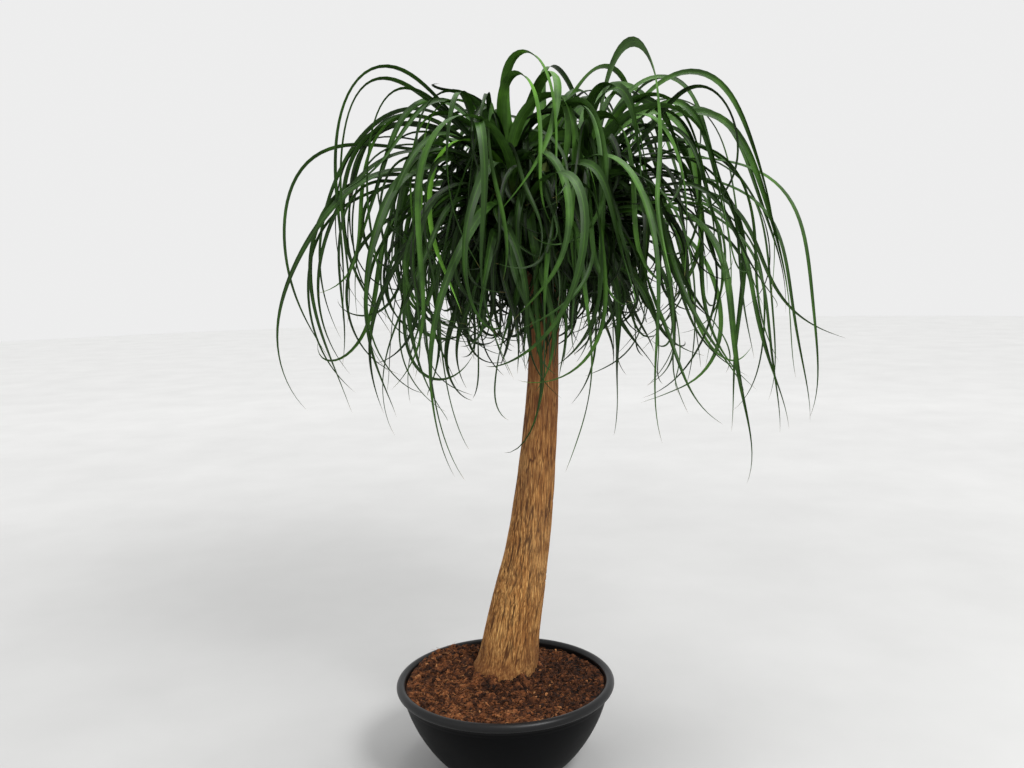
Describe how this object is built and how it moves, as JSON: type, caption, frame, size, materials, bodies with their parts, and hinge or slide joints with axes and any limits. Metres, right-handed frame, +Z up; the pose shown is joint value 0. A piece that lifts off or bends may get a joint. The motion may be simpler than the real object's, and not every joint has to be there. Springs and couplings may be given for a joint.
{
  "type": "potted palm",
  "caption": "Potted ponytail palm: a leaning corky trunk with a swollen foot and heads of long arching strap leaves, in a round bowl pot of coarse compost.",
  "frame": {"origin": "centre of the pot's flat underside", "axes": "+Z up the pot's axis to the leaves, -Y towards the viewer of the front, +X to the viewer's right"},
  "size_m": [0.9675, 0.9478, 1.3047],
  "materials": {
    "pot": "matt, faint sheen on the rim",
    "soil": "coarse, dry and fibrous",
    "bark": "corky, finely fissured",
    "leaf": "satin, finely veined"
  },
  "bodies": {
    "root": {"pot": "pot", "soil": "soil", "trunk": "bark", "head_left": "leaf", "head_right": "leaf", "head_back": "leaf"}
  },
  "joints": []
}
